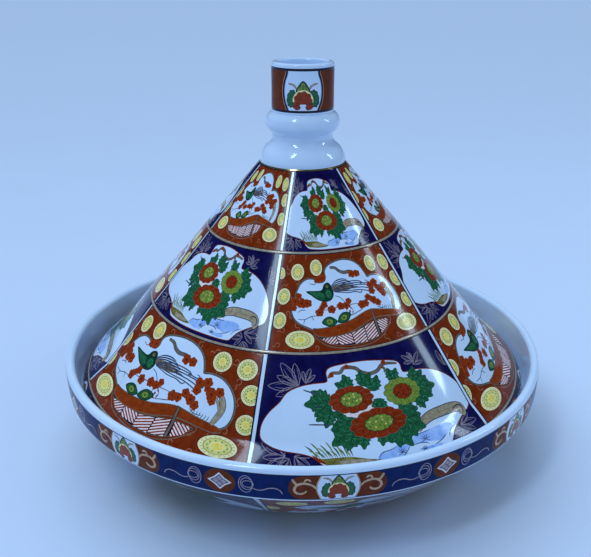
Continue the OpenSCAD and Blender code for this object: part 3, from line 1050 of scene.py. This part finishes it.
def ring_line(name, profile, s, width, ink, lift, body):
    """A fired line round a turned wall, as a low band with bevelled edges."""
    across = np.array([-0.5, -0.5, -0.42, 0, 0.42, 0.5, 0.5]) * width + s
    lifts = np.array([-0.25, lift * 0.5, lift, lift * 1.1, lift, lift * 0.5, -0.25])
    points = [profile.place(np.array([a]), np.array([0.0]), l)[0][0] for a, l in zip(across, lifts)]
    closed_lathe(name, [(-p[1], p[2]) for p in points], body, None, ink)


def ring_lines():
    """The dark and gold lines under the tiers and the collar."""
    for i, edge in enumerate(TIER_EDGES[1:]):
        ring_line(f"tier_line_dark_{i + 1}", LID, edge, 2.5, "line", 0.085, "lid")
        ring_line(f"tier_line_gold_{i + 1}", LID, edge - 0.1, 1.45, "gold", 0.13, "lid")
    ring_line("collar_line_dark", LID, TIER_EDGES[0] + 0.9, 1.5, "line", 0.085, "lid")
    ring_line("collar_line_gold", LID, TIER_EDGES[0] + 0.35, 0.9, "gilt", 0.13, "lid")


def posy(art, x, y, size):
    """Half a chrysanthemum with a bud, two leaves and two twigs."""
    def at(points):
        return moved(points, x, y, 0, size)
    for side in (-1, 1):
        art.brush("bark", at([(side * 3.6, 1.6), (side * 5.6, 4.2), (side * 9.2, 5.2)]), 1.4 * size, 0.4)
        middle = np.array([side * 7.0, -3.6])
        leaf = moved(wavy_disc(0, 0, 3.3, 5.6, 9, 0.12), *middle, side * 10)
        art.paint("deep", at(leaf))
        art.paint("leaf", at((leaf - middle) * 0.86 + middle))
        for k in (-2.4, 0, 2.4):
            art.brush("fern", at([(side * 5.6, -3.6 + k * 0.5), (side * 8.6, -3.2 + k)]), 0.5 * size, n=1)
    art.patch("deep", at([(-4.3, 0.4), (-3, 3.8), (0, 6.9), (3, 3.8), (4.3, 0.4), (0, -1)]))
    art.patch("sprout", at([(-3.4, 0.7), (-2.1, 3.5), (0, 5.8), (2.1, 3.5), (3.4, 0.7), (0, -0.6)]))
    for lean in (-1.9, 0, 1.9):
        art.brush("leaf", at([(lean * 0.6, 4.8), (lean, 2.6), (lean * 0.9, 0.8)]), 0.55 * size)
    art.paint("cream", at(arc([0, -4.8], 6.3, -8, 188, 24)))
    turns = np.linspace(-0.6, math.pi + 0.6, 50)
    dome = np.column_stack([np.cos(turns), np.sin(turns)]) * (5.5 * (1 + 0.06 * np.cos(turns * 9)))[:, None]
    skirt = [(-5, -8.8), (-2.4, -9), (-1.6, -7), (1.6, -7), (2.4, -9), (5, -8.8)]
    art.paint("petal", at(np.vstack([dome + [0, -4.8], skirt])))
    for i in range(8):
        art.brush("blossom", at(ray(0, -5.6, 1, 1, 12 + i * 22.3, 2.2, 5.4)), 0.7 * size, n=2)
    for side in (-1, 1):
        foot = wavy_disc(0, 0, 2.6, 1.7, 5, 0.12)
        art.paint("petal", moved(foot, x + side * 4.1 * size, y - 8.6 * size, side * 24, size))
    art.paint("white", at([(-1.5, -10.4), (-0.9, -8.4), (0, -7), (0.9, -8.4), (1.5, -10.4)]))
    for side in (-1, 1):
        art.paint("line", at([(side * 1.9 - 0.6, -8.2), (side * 1.9 + 0.6, -8.2), (side * 1.9, -10)]))


CUP_PANELS = 3


def cup_band():
    """White cartouches with a posy on the cup's iron red wall, dark at its two edges."""
    low = CUP_Z + 1.3
    high = CUP_TOP - 2.6
    half = math.pi * CUP_R / CUP_PANELS
    tall = (high - low) / 2
    art = Art()
    art.paint("rim_red", slab(half, -14, 14))
    cartouche = barrel([(8.0, -15), (8.4, -12), (9.4, -9.5), (10.8, -6), (11.4, -2), (11.3, 2),
                        (10.6, 5.5), (9.4, 8.6), (8.9, 11), (8.8, 15)])
    art.paint("goldline", widened(cartouche, 2.0))
    art.paint("line", widened(cartouche, 1.7))
    art.paint("sky", widened(cartouche, 0.35))
    art.paint("white", cartouche)
    posy(art, 0, -0.8, 1.0)
    lines = [("line", slab(half, tall - 1.5, 14)), ("line", slab(half, -14, 1.5 - tall))]
    mesh = wound("cup_band", art, half, tall, 24, CUP.length_at_z(high) + tall, CUP_R, CUP, 1.6, lines)
    copies(mesh, "cup_band_panel", "lid", [360 / CUP_PANELS * k for k in range(CUP_PANELS)])


BORDER_PANELS = 12


def lid_border():
    """The narrow cobalt border above the lid's edge."""
    top = TIER_BOTTOM + 1.0
    bottom = LID.length_at_z(LID_Z + 1.8)
    half = math.pi * LID_R / BORDER_PANELS
    tall = (bottom - top) / 2
    art = Art()
    art.paint("cobalt", slab(half, -9, 9))
    for centre in (-half, half):
        art.paint("red", ellipse(centre, 0, 8, tall - 0.6))
        art.paint("goldline", ellipse(centre, 0, 5.2, tall - 1.5))
        art.paint("red", ellipse(centre, 0, 4.4, tall - 2.1))
    art.paint("goldline", ellipse(0, 0, 6.4, tall - 0.5))
    art.paint("white", ellipse(0, 0, 5.8, tall - 0.9))
    art.blossom(0, 0, 2.3, 18)
    for side in (-1, 1):
        art.leaf(side * 1.8, 0, 3.2, 2.2, 90 - side * 90)
        for k in range(3):
            art.scroll(side * (13 + k * 5.2), 0, 1.7, 90 * k, side, "goldline", 0.45)
    mesh = wound("lid_border", art, half, tall, 26, (top + bottom) / 2, LID_R, LID, 2.6)
    copies(mesh, "lid_border_panel", "lid", [PANEL_TURN + 30 * k for k in range(BORDER_PANELS)])


# ---- the dish's decoration

BAND_TOP = 0.15
BAND_BOTTOM = DISH.length_at_z(46.4)
BAND_PANELS = 8
BAND_TURN = 6.4
BOWL_TURN = 20.7


def volute(art, side):
    """The thick gold scroll beside a rim cartouche."""
    hook = [(11.2, -0.8), (13.6, 1.6), (16.4, 2.7), (19.4, 2.8), (22, 1.4), (23, -1), (22.2, -3),
            (20, -3.8), (17.6, -3), (16.8, -1.8)]
    flare = [(21.6, 1.8), (23, 3.6), (24.2, 5.6)]
    bump = [(18.2, 3), (17.2, 5), (15.6, 5.2), (14.6, 4.2)]
    for ink, more in (("line", 0.45), ("goldline", 0)):
        for points, width in ((hook, 1.45), (flare, 1.4), (bump, 1.1)):
            art.brush(ink, [(side * x, y) for x, y in points], width + more, 0.6)


def star(art, centre, height):
    """A pointed star in a red oval, with coiled line work and a tendril on both sides."""
    art.paint("line", ellipse(centre, 0, 9.0, height - 0.3))
    art.paint("rim_red", ellipse(centre, 0, 8.6, height - 0.65))
    points = np.array([(7.4, 0), (3.2, 2.6), (0, 6), (-3.2, 2.6),
                       (-7.4, 0), (-3.2, -2.6), (0, -6), (3.2, -2.6)])
    for size, ink in ((1.0, "line"), (0.92, "pink"), (0.72, "plume")):
        art.paint(ink, points * size + [centre, 0])
    cell = [(1.95, 0), (0, 1.6), (-1.95, 0), (0, -1.6)]
    for dx, dy in ((0, 1.85), (0, -1.85), (2.25, 0), (-2.25, 0)):
        art.paint("silver", moved(cell, centre + dx, dy))
    turns = np.radians(np.arange(0, 361, 24))
    tendril = [(17.6, -1.6), (20.8, -2.6), (23.6, -2.2), (26.6, -0.9),
               (30, -0.8), (32.6, -2.2), (33.6, -4.2)]
    for way in (-1, 1):
        for wide, tall, across, up in ((3.7, 5.3, 14.2, 0.4), (3.3, 3.7, 14.9, 0.7), (3.0, 2.1, 15.4, 0.6)):
            x = centre + way * (across + wide * np.cos(turns))
            art.brush("silver", np.column_stack([x, up + tall * np.sin(turns)]), 0.42, 1.0, n=2)
        art.brush("silver", [(centre + way * x, y) for x, y in tendril], 0.6, 0.7)


def rim_band():
    """The band round the rim: posies in white cartouches on red, and stars on cobalt between."""
    half = math.pi * RIM_R / BAND_PANELS
    tall = (BAND_BOTTOM - BAND_TOP) / 2
    art = Art()
    art.paint("rim_blue", slab(half, -9, 9))
    art.paint("line", pill(26.4, tall - 0.35, 7.4))
    art.paint("rim_red", pill(25.9, tall - 0.7, 7.0))
    cartouche = barrel([(8.2, -9), (9.4, -6), (10.6, -3), (11, 0), (10.6, 3), (9.4, 6), (8.4, 9)])
    art.paint("line", widened(cartouche, 1.0))
    art.paint("goldline", widened(cartouche, 0.7))
    art.paint("white", cartouche)
    posy(art, 0, 1.6, 0.88)
    for side in (-1, 1):
        volute(art, side)
    for side in (-1, 1):
        star(art, side * half, tall)
    lines = [("line", slab(half, tall - 0.55, 9)), ("line", slab(half, -9, 0.4 - tall))]
    mesh = wound("rim_band", art, half, tall, 50, (BAND_TOP + BAND_BOTTOM) / 2, RIM_R, DISH, 3.4, lines)
    copies(mesh, "rim_band_panel", "dish", [BAND_TURN + 360 / BAND_PANELS * k for k in range(BAND_PANELS)])


def bowl_panels(scenes):
    """The scenes again on the underside of the bowl, their tops towards the rim."""
    top = BAND_BOTTOM + 1.3
    bottom = float(DISH.s[-1]) - 5

    def unroll(flat):
        length, azimuth = unroll_lid(flat)
        t = (length - TIER_TOP) / (TIER_BOTTOM - TIER_TOP)
        return top + t * (bottom - top), azimuth

    for ink, art in scenes.items():
        mesh = printed(f"{ink}_scene_bowl", art, fan_outline(TIER_TOP, TIER_BOTTOM, STRIP[2]),
                       unroll, DISH, 2.4, lift=0.1, warp=scene_warp(TIER_TOP, TIER_BOTTOM),
                       frame_lines=side_lines(TIER_TOP - 2, TIER_BOTTOM + 2, STRIP[2]))
        copies(mesh, f"{ink}_panel_bowl", "dish", every_other(BOWL_TURN, ink == "blue"))
    ring_line("bowl_line_dark", DISH, bottom + 1.2, 1.2, "line", 0.1, "dish")


# ---- floor, light, view

DAYLIGHT = (0.60, 0.79, 1.0)
FAR_FLOOR = (0.333, 0.495, 0.775)
POT_MIDDLE = Vector((0, 0, 0.1))


def pale_floor():
    """A plain floor, large enough to reach past every view."""
    mesh = bpy.data.meshes.new("floor")
    mesh.from_pydata([(-30, -30, 0), (30, -30, 0), (30, 30, 0), (-30, 30, 0)], [], [(0, 1, 2, 3)])
    mesh.materials.append(
        fired("floor_paint", (0.565, 0.640, 0.800), (0.570, 0.645, 0.805), 40, 0.85, 0.0, coat=0.0))
    floor = placed("floor", mesh)


def studio_world():
    """Soft light from all round, dim in reflections and as bright as the far floor to the camera."""
    world = bpy.data.worlds.new("studio")
    bpy.context.scene.world = world
    world.use_nodes = True
    tree = world.node_tree
    sky = tree.nodes["Background"]
    sky.inputs["Color"].default_value = (*DAYLIGHT, 1)
    sky.inputs["Strength"].default_value = 0.5
    path = node(tree, "ShaderNodeLightPath")
    shown = sky.outputs["Background"]
    for kind, tint, strength in (("Is Glossy Ray", DAYLIGHT, 0.05), ("Is Camera Ray", FAR_FLOOR, 1.0)):
        other = node(tree, "ShaderNodeBackground", in_Color=(*tint, 1), in_Strength=strength)
        mix = node(tree, "ShaderNodeMixShader")
        tree.links.new(path.outputs[kind], mix.inputs["Fac"])
        tree.links.new(shown, mix.inputs[1])
        tree.links.new(other.outputs["Background"], mix.inputs[2])
        shown = mix.outputs["Shader"]
    tree.links.new(shown, tree.nodes["World Output"].inputs["Surface"])
    bpy.context.scene.view_settings.view_transform = "Standard"


def lamp(name, kind, place, power):
    """A light at a place, turned to face the pot."""
    light = bpy.data.lights.new(name, kind)
    light.energy = power
    light.color = DAYLIGHT
    made = placed(name, light)
    made.location = place
    made.rotation_euler = (POT_MIDDLE - Vector(place)).to_track_quat("-Z", "Y").to_euler()
    return made


def lamps():
    """Two windows that show as highlights, and a wide soft light from above that doesn't."""
    for name, place, size, power in (
            ("left_window", (-0.42, -0.58, 1.22), (0.16, 0.5), 4),
            ("right_window", (1.1, -0.02, 0.82), (0.10, 0.5), 2)):
        window = lamp(name, "AREA", place, power)
        window.data.shape = "RECTANGLE"
        window.data.size, window.data.size_y = size
    overhead = lamp("high_soft", "SUN", (-0.7, 0.9, 2.2), 1.9)
    overhead.data.angle = math.radians(70)
    overhead.visible_glossy = False


def camera():
    """The photo's view: from in front, a little left of the pot's axis, looking 22 degrees down."""
    lens = bpy.data.cameras.new("camera")
    lens.sensor_width = 36.0
    lens.lens = 47.2
    made = placed("camera", lens)
    made.location = (-0.0045, -0.489, 0.3055)
    made.rotation_euler = (math.radians(90 - 22.2), 0, 0)
    bpy.context.scene.camera = made


dish_bodies()
lid_bodies()
SCENES = {"red": red_scene(), "blue": blue_scene()}
lid_panels(SCENES)
ring_lines()
rim_band()
bowl_panels(SCENES)
cup_band()
lid_border()
pale_floor()
studio_world()
lamps()
camera()
